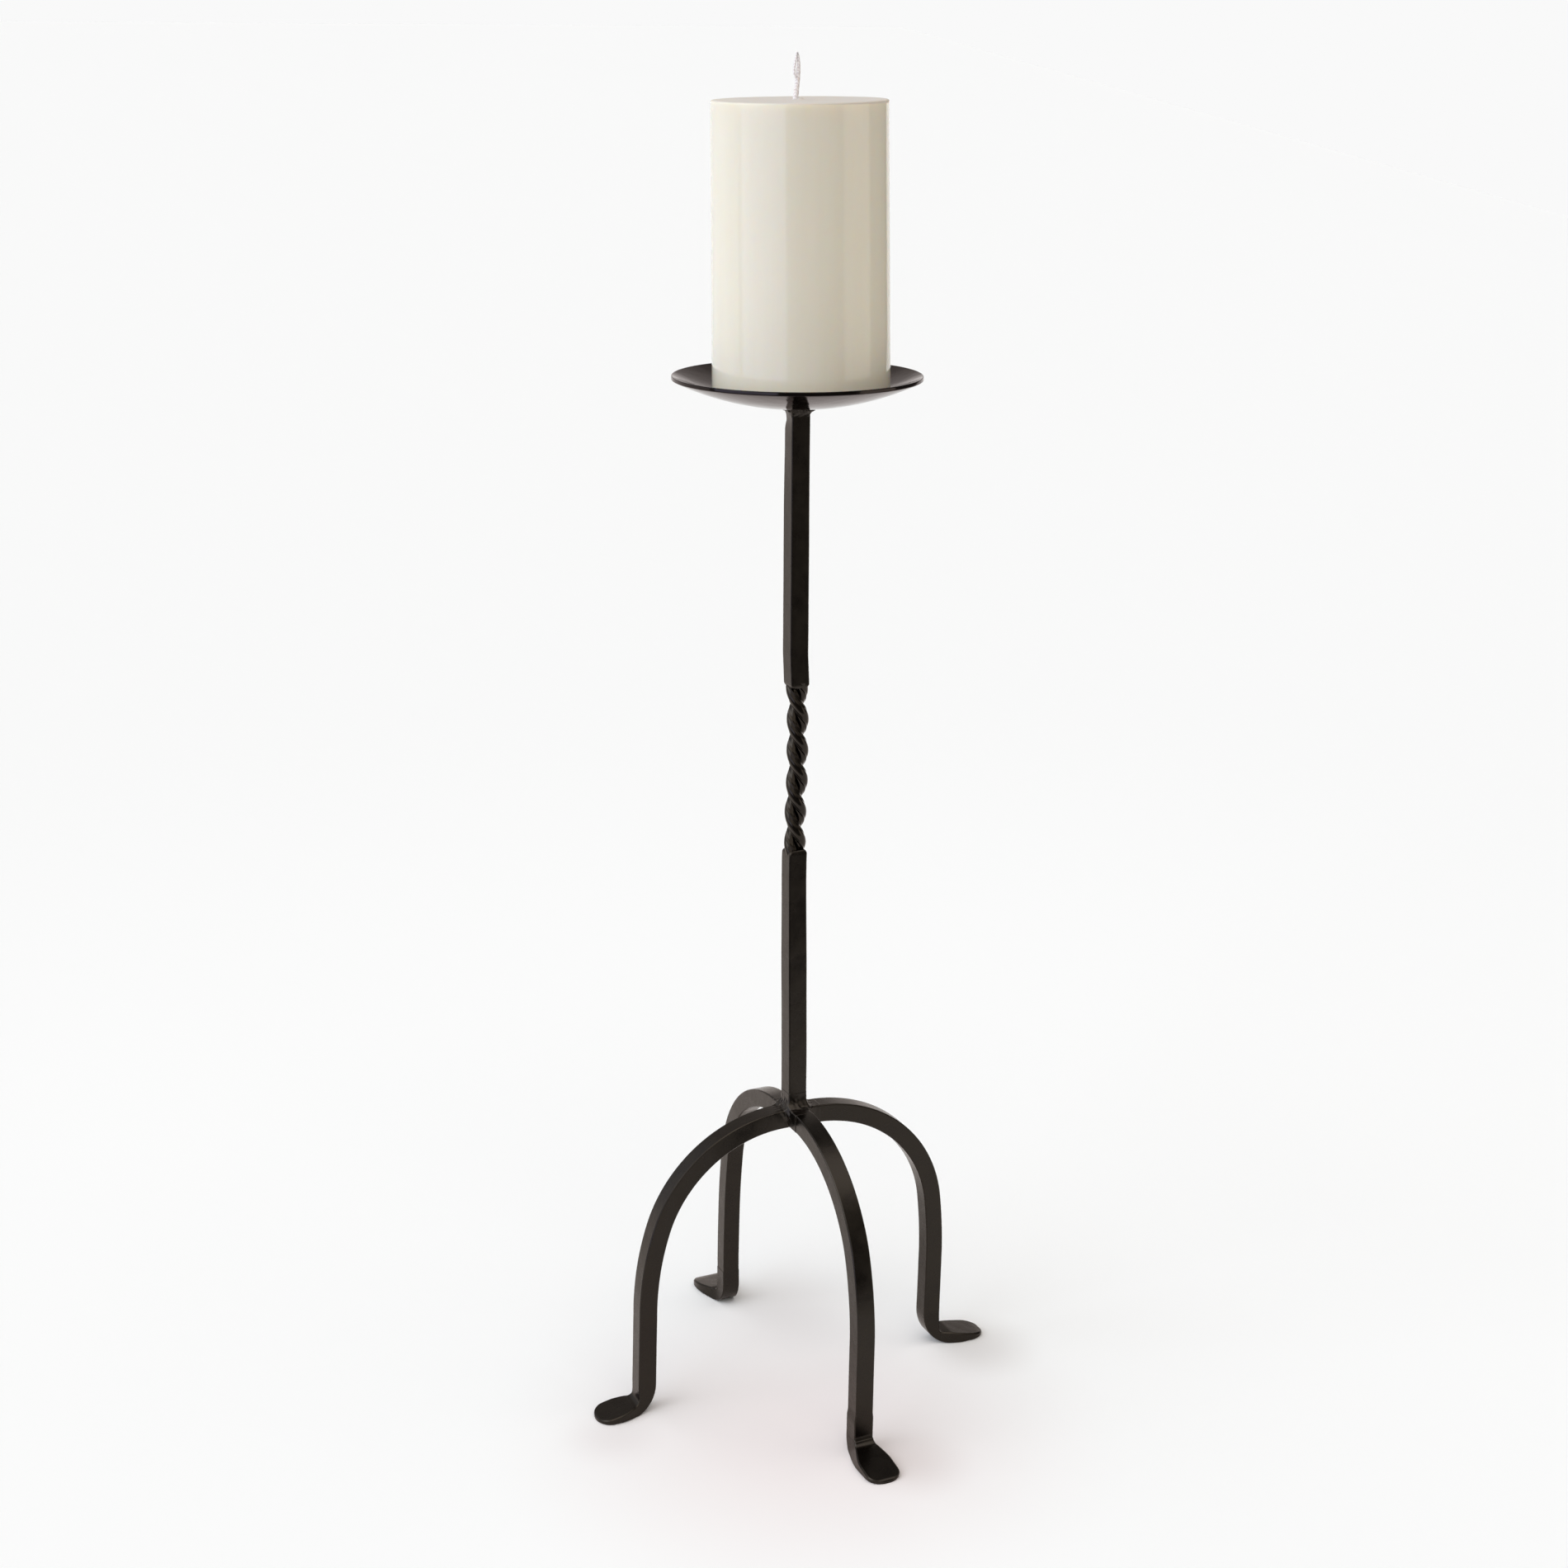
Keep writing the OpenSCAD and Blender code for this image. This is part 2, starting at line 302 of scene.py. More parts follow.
def braided_cotton():
    """Bleached cotton braid, lightly waxed: matt, with its plaits as slanting bands, darker in their grooves
    as painted shade. A light or a dark band takes about 0.7 mm of the wick's length, which is 1 / (3.14
    scale) for a diagonal wave."""
    plait_mm, plait_depth = 0.7, 0.1
    material, tree, surface = new_material("bleached_cotton_braid_waxed")
    place = add_node(tree, "ShaderNodeTexCoord").outputs["Object"]
    plaits = add_node(tree, "ShaderNodeTexWave",
                      {"bands_direction": "DIAGONAL", "Scale": 1 / (3.14 * plait_mm * MM), "Distortion": 1.5},
                      Vector=place).outputs["Fac"]
    # The grooves between the plaits are coloured darker than the ridges: painted shade
    tone = add_node(tree, "ShaderNodeMix",
                    {"data_type": "RGBA", "A": colour("#ddd5d5"), "B": colour("#f6f1f1")}, Factor=plaits)
    bump = add_node(tree, "ShaderNodeBump", {"Strength": 0.7, "Distance": plait_depth * MM}, Height=plaits)
    tree.links.new(tone.outputs["Result"], surface.inputs["Base Color"])
    tree.links.new(bump.outputs[0], surface.inputs["Normal"])
    surface.inputs["Roughness"].default_value = 0.7
    surface.inputs["Subsurface Weight"].default_value = 0.8
    surface.inputs["Subsurface Radius"].default_value = (1.0, 0.95, 0.9)
    surface.inputs["Subsurface Scale"].default_value = 1.2 * MM
    return material


wax = ivory_paraffin()
cotton = braided_cotton()


# ---------------------------------------------------------------- stem bars

def stem_bar(name, low, high, low_dome, high_dome, seed, node):
    """A square bar with soft edges and a slow waver; a dome is the length over which an end is drawn in
    towards the twist, and 0 leaves the end square."""
    spans, dome_spans = 60, 9
    drawn_in, rounded = 0.3, 1.5
    waver, waver_run, swell, swell_run = 0.08, 55, 0.012, 22
    taper_low, taper_run, taper = 422, 36, 0.10
    neck_low, neck_run, neck_cut = 460.2, 1.8, 0.20
    stations = [low + (high - low) * k / spans for k in range(spans + 1)]
    for dome, end, sign in ((low_dome, low, 1), (high_dome, high, -1)):
        if dome:
            stations += [end + sign * dome * (1 - math.cos(math.pi / 2 * k / dome_spans))
                         for k in range(dome_spans + 1)]
    rings = []
    for z in sorted(set(round(s, 3) for s in stations)):
        full = 1.0
        if low_dome and z < low + low_dome:
            full = min(full, math.sqrt(max(0.0, 1 - (1 - (z - low) / low_dome) ** 2)))
        if high_dome and z > high - high_dome:
            full = min(full, math.sqrt(max(0.0, 1 - (1 - (high - z) / high_dome) ** 2)))
        side = bar_side(z) * (1 - drawn_in + drawn_in * full)
        outline = soft_square(side, side, BAR_CORNER + rounded * (1 - full))
        dx = waver * wave(z, seed, waver_run) + bow(z) * VIEW_RIGHT[0]
        dy = waver * wave(z, seed + 3, waver_run) + bow(z) * VIEW_RIGHT[1]
        fat = 1 + swell * wave(z, seed + 5, swell_run)
        # Below the pan's weld the left side is ground back to a short neck, most at its far corner
        ground = neck_cut * ease((z - neck_low) / neck_run) + taper * ease((z - taper_low) / taper_run)
        ring = []
        for x, y in outline:
            kept = 1 - ground * (0.5 + y / side) if x < 0 else 1
            ring.append((x * fat * kept + dx, y * fat + dy, z))
        rings.append(ring)
    points, faces = loft(rings)
    make_piece(name, points, faces, bar_coat, "stand", node)


# The bars run a little way over the ends of the twist and into the weld under the pan
OVER_TWIST, INTO_WELD, DOME = 1.2, 0.6, 2.2
stem_bar("stem_bar_lower", STEM_FOOT, TWIST_LOW + OVER_TWIST,
         low_dome=0, high_dome=DOME, seed=1, node="lower_stem")
stem_bar("stem_bar_upper", TWIST_HIGH - OVER_TWIST, STEM_TOP + INTO_WELD,
         low_dome=DOME, high_dome=0, seed=2, node="upper_stem")


# ---------------------------------------------------------------- twist

def strand_section():
    """Outline of a strand: round, pressed flat against the other strand at the seam, with a ridge left from
    its square bar on each side of the seam and a shallow hollow on each side of the ridge."""
    radius, off_axis = 2.86, 2.08
    # Degrees from the strand's outside to its seam, and from point to point
    seam, step = 136, 4
    # Degrees from the strand's outside, half width in degrees, rise: the ridge and the two hollows
    forms = ((79, 7, 0.20), (60, 11, -0.14), (99, 10, -0.10))
    outline = []
    for a in range(seam, -seam - 1, -step):
        r = radius
        for centre, reach, rise in forms:
            r += rise * math.exp(-((abs(a) - centre) / reach) ** 2)
        outline.append((max(off_axis + r * math.cos(math.radians(a)), 0.0), r * math.sin(math.radians(a))))
    return outline


def twist_strand(name, side, node):
    """One of the two strands of the twist, wound left-handed."""
    half_turns, start = 5.4, math.radians(27)
    into_bar, steps = 1.5, 260
    waver, waver_run = 0.1, 30
    low, high = TWIST_LOW - into_bar, TWIST_HIGH + into_bar
    outline = strand_section()
    rings = []
    for k in range(steps + 1):
        z = low + (high - low) * k / steps
        turn = start - math.pi * half_turns * (z - TWIST_LOW) / (TWIST_HIGH - TWIST_LOW)
        c, s = math.cos(turn), math.sin(turn)
        dx = waver * wave(z, 11, waver_run) + bow(z) * VIEW_RIGHT[0]
        dy = waver * wave(z, 12, waver_run) + bow(z) * VIEW_RIGHT[1]
        ring = []
        for x, y in outline:
            x, y = side * x, side * y
            ring.append((x * c - y * s + dx, x * s + y * c + dy, z))
        rings.append(ring)
    points, faces = loft(rings)
    make_piece(name, points, faces, twist_coat, "stand", node)


twist_strand("twist_strand_first", side=-1, node="twist_strand_a")
twist_strand("twist_strand_second", side=1, node="twist_strand_b")


# ---------------------------------------------------------------- legs

# Each leg was bent by hand, so each has its own crown, shoulder, lean and foot, as the photo shows them.
# turn: bearing from +X; bar: side of its bar; lift: rise of its root at the stem; crown: level run before the
# shoulder; shoulder: radius of the shoulder, over swing degrees; reach: how far out its upright stands;
# middle: height of its middle line at the stem; lean: how far the upright leans out on its way down;
# aside: shift to the right of the picture; heel: length and height of the bend's outside; bend: radius of
# its inside; neck and toe: thickness of the foot at its two ends; grow: where the foot begins to widen and
# where it is full; tip: how far out it ends; wide: its width; shift: how far it turns to its left, seen
# from the stem; round: length and bluntness of its round tip
LEGS = {
    "left": dict(turn=180, bar=8.85, lift=0.0, crown=1.8, shoulder=65.5, swing=71.3, reach=75.3, middle=137.1,
                 lean=2.0, aside=0.0, heel=(11, 14.5), bend=3.0, neck=5.2, toe=2.4, grow=(75, 91),
                 tip=100.8, wide=17.0, shift=0.0, round=(7, 2.2)),
    "front": dict(turn=270, bar=8.8, lift=0.0, crown=6.4, shoulder=61.4, swing=72.4, reach=75.0, middle=138.0,
                  lean=-1.7, aside=0.2, heel=(5, 7.5), bend=3.5, neck=5.6, toe=2.4, grow=(70, 91),
                  tip=104.1, wide=16.3, shift=-0.7, round=(7, 2.5)),
    "right": dict(turn=0, bar=8.65, lift=0.5, crown=6.2, shoulder=63.7, swing=83.7, reach=75.3, middle=136.5,
                  lean=-1.3, aside=0.0, heel=(14, 17.5), bend=1.2, neck=6.0, toe=2.4, grow=(73, 91),
                  tip=103.4, wide=15.6, shift=-1.7, round=(8.5, 2.2)),
    "back": dict(turn=90, bar=8.45, lift=0.0, crown=7.4, shoulder=59.3, swing=81.1, reach=75.3, middle=136.5,
                 lean=0.0, aside=0.0, heel=(12, 13), bend=2.0, neck=6.4, toe=3.2, grow=(73, 95),
                 tip=103.0, wide=17.8, shift=0.3, round=(7, 3.0)),
}
# A root's lift fades out over this distance from the stem
LIFT_RUN = 24


def leg_line(leg):
    """Middle line of a leg in its own upright plane, from inside the stem to the top of the heel, as
    (distance out, height): a level crown, the round shoulder, a flatter round below it and the upright."""
    in_stem, crown_points, shoulder_points, flank_points, upright_points = 0.5, 8, 46, 16, 20
    lean_run = 25
    shoulder, middle, swing = leg["shoulder"], leg["middle"], math.radians(leg["swing"])
    start = STEM_BAR / 2 + leg["crown"]
    flank = (leg["reach"] - start - shoulder * math.sin(swing)) / (1 - math.sin(swing))
    line = [(r, middle) for r in np.linspace(in_stem, start, crown_points)[:-1]]
    for a in np.linspace(0, swing, shoulder_points):
        line.append((start + shoulder * math.sin(a), middle - shoulder * (1 - math.cos(a))))
    x0, z0 = line[-1]
    for a in np.linspace(swing, math.pi / 2, flank_points)[1:]:
        line.append((x0 + flank * (math.sin(a) - math.sin(swing)),
                     z0 - flank * (math.cos(swing) - math.cos(a))))
    x1, z1 = line[-1]
    slope = leg["lean"] / (z1 + lean_run)
    for z in np.linspace(z1, leg["heel"][1], upright_points)[1:]:
        line.append((x1 + slope * (z1 - z), z))
    return [(r, z + leg["lift"] * max(0, 1 - r / LIFT_RUN)) for r, z in line]


def foot_sides(leg, x):
    """Heel and foot, from the upright at x, as pairs of a point on the upper and one on the under side."""
    heel_steps, sole_steps, least_run = 26, 36, 0.3
    thin_tip, thin_power = 0.3, 16
    half = leg["bar"] / 2
    run, rise = leg["heel"]
    bend, neck, toe, tip = leg["bend"], leg["neck"], leg["toe"], leg["tip"]
    drop = rise - neck - bend
    turned = math.pi / 2 * bend
    ahead = max(run - 2 * half - bend, least_run)
    pairs = []
    for k in range(1, heel_steps + 1):
        s = k / heel_steps
        a = math.pi / 2 * s
        under = (x - half + run * (1 - math.cos(a)), rise * (1 - math.sin(a)))
        gone = s * (drop + turned + ahead)
        if gone < drop:
            upper = (x + half, rise - gone)
        elif gone < drop + turned:
            b = (gone - drop) / bend
            upper = (x + half + bend * (1 - math.cos(b)), neck + bend * (1 - math.sin(b)))
        else:
            upper = (x + half + bend + gone - drop - turned, neck)
        pairs.append((upper, under))
    high, low = pairs[-1][0][0], pairs[-1][1][0]
    for k in range(1, sole_steps + 1):
        u = math.sin(math.pi / 2 * k / sole_steps)
        rounded = thin_tip + (1 - thin_tip) * math.sqrt(max(0.0, 1 - u ** thin_power))
        thick = (neck + (toe - neck) * min(u / 0.9, 1)) * rounded
        pairs.append(((high + (tip - high) * u, thick), (low + (tip - low) * u, 0.0)))
    return pairs


def forged_leg(name, leg, node):
    """A leg from one square bar, lofted along its line and spread into its spoon-shaped foot."""
    waver, waver_run, least_loose, least_wide = 0.14, 32, 0.2, 0.3
    foot_top, held_foot, held_run, held_root, upright_from = 20, 8, 20, 30, 60
    line = leg_line(leg)
    half = leg["bar"] / 2
    pairs = []
    for k, (r, z) in enumerate(line):
        a = line[max(k - 1, 0)]
        b = line[k + 1] if k + 1 < len(line) else (r, z - 1)
        run = Vector((b[0] - a[0], b[1] - a[1])).normalized()
        pairs.append(((r - run[1] * half, z + run[0] * half), (r + run[1] * half, z - run[0] * half)))
    pairs += foot_sides(leg, line[-1][0])
    turn = math.radians(leg["turn"])
    out = Vector((math.cos(turn), math.sin(turn), 0))
    side = Vector((-math.sin(turn), math.cos(turn), 0))
    nudge = RIGHT * leg["aside"]
    length, blunt = leg["round"]
    begins, full = leg["grow"]
    rings = []
    travelled = 0.0
    before = pairs[0]
    for upper, under in pairs:
        r, z = (upper[0] + under[0]) / 2, (upper[1] + under[1]) / 2
        travelled += math.hypot(r - (before[0][0] + before[1][0]) / 2, z - (before[0][1] + before[1][1]) / 2)
        before = (upper, under)
        across = Vector((upper[0] - under[0], upper[1] - under[1]))
        deep = across.length
        across = across / deep
        normal = out * across[0] + UP * across[1]
        spread, wide = 0.0, leg["bar"]
        if z < foot_top:
            spread = ease((r - begins) / (full - begins))
            wide = leg["bar"] + (leg["wide"] - leg["bar"]) * spread
            along_tip = min(max((r - leg["tip"]) / length + 1, 0.0), 1.0)
            wide = max(wide * (1 - along_tip ** blunt) ** (1 / blunt), least_wide)
        # The bar wavers least at the stem and in the foot, where it was held
        loose = ease((z - held_foot) / held_run) if r > upright_from else ease(r / held_root)
        dx = waver * wave(travelled, leg["turn"] / 10 + 1, waver_run) * max(loose, least_loose)
        dn = waver * wave(travelled, leg["turn"] / 10 + 4, waver_run) * loose
        centre = out * r + UP * z + side * (leg["shift"] * spread + dx) + normal * dn + nudge
        corner = min(BAR_CORNER + 0.3 * spread, deep * 0.4)
        rings.append([tuple(centre + side * x + normal * y) for x, y in soft_square(wide, deep, corner)])
    points, faces = loft(rings)
    points = [(x, y, max(z, 0.0)) for x, y, z in points]
    make_piece(name, points, faces, bar_coat, "stand", node)


for key, leg in LEGS.items():
    forged_leg(f"forged_leg_{key}", leg, f"{key}_leg")


# ---------------------------------------------------------------- welds

def skin(field, low, high, step):
    """Mesh of the surface where field, a distance to a solid in mm, is zero: a point in each grid cell that
    the surface crosses, pulled onto the surface, and a face across each grid edge that it crosses."""
    pulls, probe, longest_pull = 6, 0.2 * step, 0.6 * step
    axes = [np.arange(a, b + step, step) for a, b in zip(low, high)]
    grid = np.stack(np.meshgrid(*axes, indexing="ij"), -1)
    d = field(grid)
    inside = d < 0
    shape = np.array(d.shape) - 1
    corners = [(i, j, k) for i in (0, 1) for j in (0, 1) for k in (0, 1)]
    count = sum(inside[i:i + shape[0], j:j + shape[1], k:k + shape[2]].astype(int) for i, j, k in corners)
    live = (count > 0) & (count < 8)
    number = -np.ones(live.shape, int)
    number[live] = np.arange(live.sum())
    cells = np.argwhere(live)
    points = np.array(low) + (cells + 0.5) * step
    for _ in range(pulls):
        value = field(points)
        slope = np.stack([(field(points + off) - field(points - off)) / (2 * probe)
                          for off in np.eye(3) * probe], -1)
        size = np.maximum((slope ** 2).sum(-1), 1e-6)
        move = -(value / size)[:, None] * slope
        length = np.linalg.norm(move, axis=1, keepdims=True)
        points = points + move * np.minimum(1, longest_pull / np.maximum(length, 1e-9))
    faces = []
    unit = np.eye(3, dtype=int)
    for axis, b, c in ((0, 1, 2), (1, 2, 0), (2, 0, 1)):
        first = np.take(inside, range(inside.shape[axis] - 1), axis)
        second = np.take(inside, range(1, inside.shape[axis]), axis)
        for flip, cross in ((False, first & ~second), (True, ~first & second)):
            where = np.argwhere(cross)
            within = [(where[:, n] > 0) & (where[:, n] < d.shape[n] - 1) for n in (b, c)]
            where = where[within[0] & within[1]]
            around = (0 * unit[0], unit[b], unit[b] + unit[c], unit[c])
            quads = [number[tuple((where - offset).T)] for offset in around]
            quads = np.stack(quads[::-1] if flip else quads, -1)
            faces += [tuple(int(v) for v in quad) for quad in quads if min(quad) >= 0]
    return points, faces


def block(p, centre, half, corner):
    """Distance from points p to a block with round edges, from its centre and half its sides."""
    q = np.abs(p - np.array(centre)) - (np.array(half) - corner)
    return np.linalg.norm(np.maximum(q, 0), axis=-1) + np.minimum(q.max(-1), 0) - corner


def melt(a, b, reach):
    """Joins two solids, as distances, with a fillet of weld metal; also gives the fillet's place, 0 to 1."""
    h = np.clip(0.5 + 0.5 * (b - a) / reach, 0, 1)
    return b + (a - b) * h - reach * h * (1 - h), 4 * h * (1 - h)


def ripple(p, size, seed):
    """Smooth bumps of a weld bead, at most 1.6 either way, from a few crossed waves."""
    x, y, z = (p[..., k] / size for k in range(3))
    return (np.sin(1.7 * x + 2.9 * y + seed) * np.sin(2.3 * y - 1.9 * z + 2 * seed)
            + 0.6 * np.sin(3.1 * z + 2.2 * x + 3 * seed) * np.sin(2.7 * x - 1.3 * y + seed))


# How far the two beads' meshes reach from the axis, and the bead at the legs above their tops
LEG_BEAD_REACH, LEG_BEAD_RISE, PAN_BEAD_REACH = 12.6, 8.6, 9.5
# Thickness by which the leg bead covers the bars that it is drawn over
BEAD_COVER = 0.015


def leg_joint(p):
    """Distance to the stem's foot and the four roots of the legs, melted together and rippled."""
    stem_sunk, half_height, half_run = 2.5, 300, 50
    between_legs, to_stem, near, bead_rise = 1.0, 6.0, 3, 0.22
    lean = bow(LEG_TOP)
    half = bar_side(LEG_TOP) / 2
    stem = block(p, (lean * VIEW_RIGHT[0], lean * VIEW_RIGHT[1], half_height),
                 (half, half, half_height - (LEG_TOP - stem_sunk)), BAR_CORNER)
    fillet = np.zeros(stem.shape)
    legs = None
    for leg in LEGS.values():
        a = math.radians(leg["turn"])
        out = p[..., 0] * math.cos(a) + p[..., 1] * math.sin(a)
        side = -p[..., 0] * math.sin(a) + p[..., 1] * math.cos(a)
        past_crown = np.maximum(out - STEM_BAR / 2 - leg["crown"], 0) / leg["shoulder"]
        fall = leg["shoulder"] * (1 - np.sqrt(np.maximum(0.2, 1 - past_crown ** 2)))
        lift = leg["lift"] * np.clip(1 - out / LIFT_RUN, 0, 1)
        q = np.stack([out, side, p[..., 2] - leg["middle"] + fall - lift], -1)
        root = block(q, (half_run, 0, 0), (half_run, leg["bar"] / 2, leg["bar"] / 2), BAR_CORNER)
        if legs is None:
            legs = root
        else:
            legs, seam = melt(legs, root, between_legs)
            fillet = np.maximum(fillet, seam * (np.abs(legs) < near))
    d, seam = melt(stem, legs, to_stem)
    fillet = np.maximum(fillet, seam)
    d = d - bead_rise * fillet * ripple(p, size=1.9, seed=0.7)
    wide = np.maximum(np.abs(p[..., 0]), np.abs(p[..., 1])) - LEG_BEAD_REACH
    high = p[..., 2] - (LEG_TOP + LEG_BEAD_RISE)
    return np.maximum(d - BEAD_COVER, np.maximum(wide, high))


def pan_joint(p):
    """Distance to the stem's top and the sheet of the dish, melted together, with a crown of bead."""
    half, half_height, corner, aside = COATED_BAR / 2 - 0.1, 9, 0.7, 0.05
    neck_side, neck_turn = 4.3, math.radians(8.25)
    fillet_reach, sheet, kept_sheet, reach_down = 4.6, 1.2, 0.9, 8.2
    crown_down, crown_run, crown_rise, fillet_rise = 1.1, 0.55, 0.34, 0.16
    stem = block(p, (aside, 0, STEM_TOP - 3), (half, half, half_height), corner)
    # Its left side is ground back with the neck of the bar, a little out of square
    stem = np.maximum(stem, -math.cos(neck_turn) * (p[..., 0] + neck_side)
                      + math.sin(neck_turn) * (p[..., 1] + neck_side))
    far = np.linalg.norm(p - np.array((0, 0, DISH_CENTRE)), axis=-1)
    dish = np.maximum(far - DISH_RADIUS, DISH_RADIUS - sheet - far)
    d, fillet = melt(stem, dish, fillet_reach)
    # The crown stands round the bar just under the sheet
    crown = np.exp(-((p[..., 2] - (STEM_TOP - crown_down)) / crown_run) ** 2)
    metal = crown_rise * crown + fillet_rise * np.clip(fillet * 1.3, 0.25, 1)
    d = d - metal * (0.7 + 0.5 * ripple(p, size=1.1, seed=2.1)) * (far > DISH_RADIUS)
    wide = np.hypot(p[..., 0], p[..., 1]) - PAN_BEAD_REACH
    low = (STEM_TOP - reach_down) - p[..., 2]
    inner = DISH_RADIUS - kept_sheet - far
    return np.maximum(np.maximum(d, np.maximum(wide, low)), inner)


def weld_bead(name, joint, reach, low, high, step, node):
    """The bead of a joint, drawn in a box that reaches this far to each side and from low to high."""
    points, faces = skin(joint, (-reach, -reach, low), (reach, reach, high), step)
    make_piece(name, points, faces, bead_coat, "stand", node)


weld_bead("leg_joint_weld_bead", leg_joint, reach=LEG_BEAD_REACH + 0.8, low=STEM_FOOT - 3,
          high=LEG_TOP + LEG_BEAD_RISE + 1, step=0.36, node="leg_welds")
weld_bead("pan_weld_bead", pan_joint, reach=PAN_BEAD_REACH + 0.7, low=STEM_TOP - 9, high=STEM_TOP + 1.6,
          step=0.3, node="pan_weld")


# ---------------------------------------------------------------- drip pan

def spun_pan():
    """The dish, pressed from 1.6 mm sheet, its rim filed square and broken at the corners."""
    inner = DISH_RADIUS - PAN_SHEET
    rim_under, rim_over, rings, around = 0.3, 0.9, 60, 160

    def sphere(radius, r):
        """The profile's point at r on a sphere about the dish's centre."""
        return (r, DISH_CENTRE - math.sqrt(radius * radius - r * r))

    low = sphere(DISH_RADIUS, PAN_RADIUS)[1]
    high = sphere(inner, PAN_RADIUS - rim_over)[1] + 0.2
    under = [sphere(DISH_RADIUS, (PAN_RADIUS - rim_under) * k / rings) for k in range(rings + 1)]
    # How far in from the edge, and how high above the rim's lower or upper side
    rim = [(PAN_RADIUS - inward, low + rise) for inward, rise in ((0.04, 0.03), (0, 0.1), (0, 0.3))]
    rim += [(PAN_RADIUS - inward, high + rise)
            for inward, rise in ((0, -0.35), (0.01, -0.18), (0.08, -0.06), (0.25, 0.02), (0.5, 0.03))]
    over = [sphere(inner, (PAN_RADIUS - rim_over) * k / rings) for k in range(rings, -1, -1)]
    points, faces = spin(under + rim + over, around)
    # The dish sits 0.6 degrees out of level, its front up
    sunk, slope_right, slope_front = 0.02, 0.002, 0.0105
    tilted = []
    for x, y, z in points:
        right = x * VIEW_RIGHT[0] + y * VIEW_RIGHT[1]
        front = x * VIEW_RIGHT[1] - y * VIEW_RIGHT[0]
        tilted.append((x, y, z - sunk + slope_right * right + slope_front * front))
    make_piece("pressed_drip_pan", tilted, faces, pan_coat, "stand", "drip_pan")


spun_pan()


# ---------------------------------------------------------------- candle and wick

# The loose candle has slipped a little sideways in the dish, which tips it about the dish's centre
SLIP_TURN, SLIP_SIDEWAYS = math.radians(0.72), 0.18


def slipped(x, y, z):
    """A point of the candle after the slip to the right of the picture."""
    c, s = math.cos(SLIP_TURN), math.sin(SLIP_TURN)
    across = x * VIEW_RIGHT[0] + y * VIEW_RIGHT[1]
    deep = -x * VIEW_RIGHT[1] + y * VIEW_RIGHT[0]
    h = z - DISH_CENTRE
    across, h = across * c - h * s + SLIP_SIDEWAYS, across * s + h * c
    return (across * VIEW_RIGHT[0] - deep * VIEW_RIGHT[1], across * VIEW_RIGHT[1] + deep * VIEW_RIGHT[0],
            DISH_CENTRE + h)


def pillar_candle():
    """The cast candle: a round foot edge, a side that tapers a little, a sharper top edge and a poured top
    that sinks towards the middle, where the wax climbs the wick in a small cone."""
    foot_edge, top_edge, side_steps, around = 1.4, 0.8, 40, 144
    sink, cone, cone_run, wick_radius = 0.25, 1.3, 0.9, 0.8
    swell, swell_round, swell_run, side_from = 0.0022, 1.3, 60, 30
    low, high, side_tall = CANDLE_LOW, CANDLE_TOP, CANDLE_TALL - 2.5
    # The underside is a little hollow
    profile = [(0, low + 0.4), (20, low + 0.4), (CANDLE_FOOT_R - 3, low + 0.3), (CANDLE_FOOT_R - 1.7, low)]
    for degrees in range(-90, 1, 15):
        a = math.radians(degrees)
        profile.append((CANDLE_FOOT_R - foot_edge + foot_edge * math.cos(a),
                        low + foot_edge + foot_edge * math.sin(a)))
    for k in range(1, side_steps):
        t = k / side_steps
        profile.append((CANDLE_FOOT_R + (CANDLE_TOP_R - CANDLE_FOOT_R) * t, low + foot_edge + side_tall * t))
    for degrees in np.linspace(0, 90, 9):
        a = math.radians(degrees)
        profile.append((CANDLE_TOP_R - top_edge + top_edge * math.cos(a),
                        high - top_edge + top_edge * math.sin(a)))
    for r in np.linspace(CANDLE_TOP_R - 2.2, 5, 12):
        profile.append((r, high - sink * ((CANDLE_TOP_R - r) / CANDLE_TOP_R)))
    for r in (4, 3.2, 2.5, 1.9, 1.5, 1.2, 1.0):
        profile.append((r, high - sink + cone * math.exp(-((r - wick_radius) / cone_run))))
    profile.append((0, high + 0.9))
    points, faces = spin(profile, around)
    shaped = []
    for x, y, z in points:
        if math.hypot(x, y) > side_from:
            a = math.atan2(y, x)
            spot = Vector((math.cos(a) * swell_round, math.sin(a) * swell_round, z / swell_run))
            fat = 1 + swell * noise.noise(spot)
            x, y = x * fat, y * fat
        shaped.append(slipped(x, y, z))
    make_piece("pillar_candle", shaped, faces, wax, "candle", "candle")


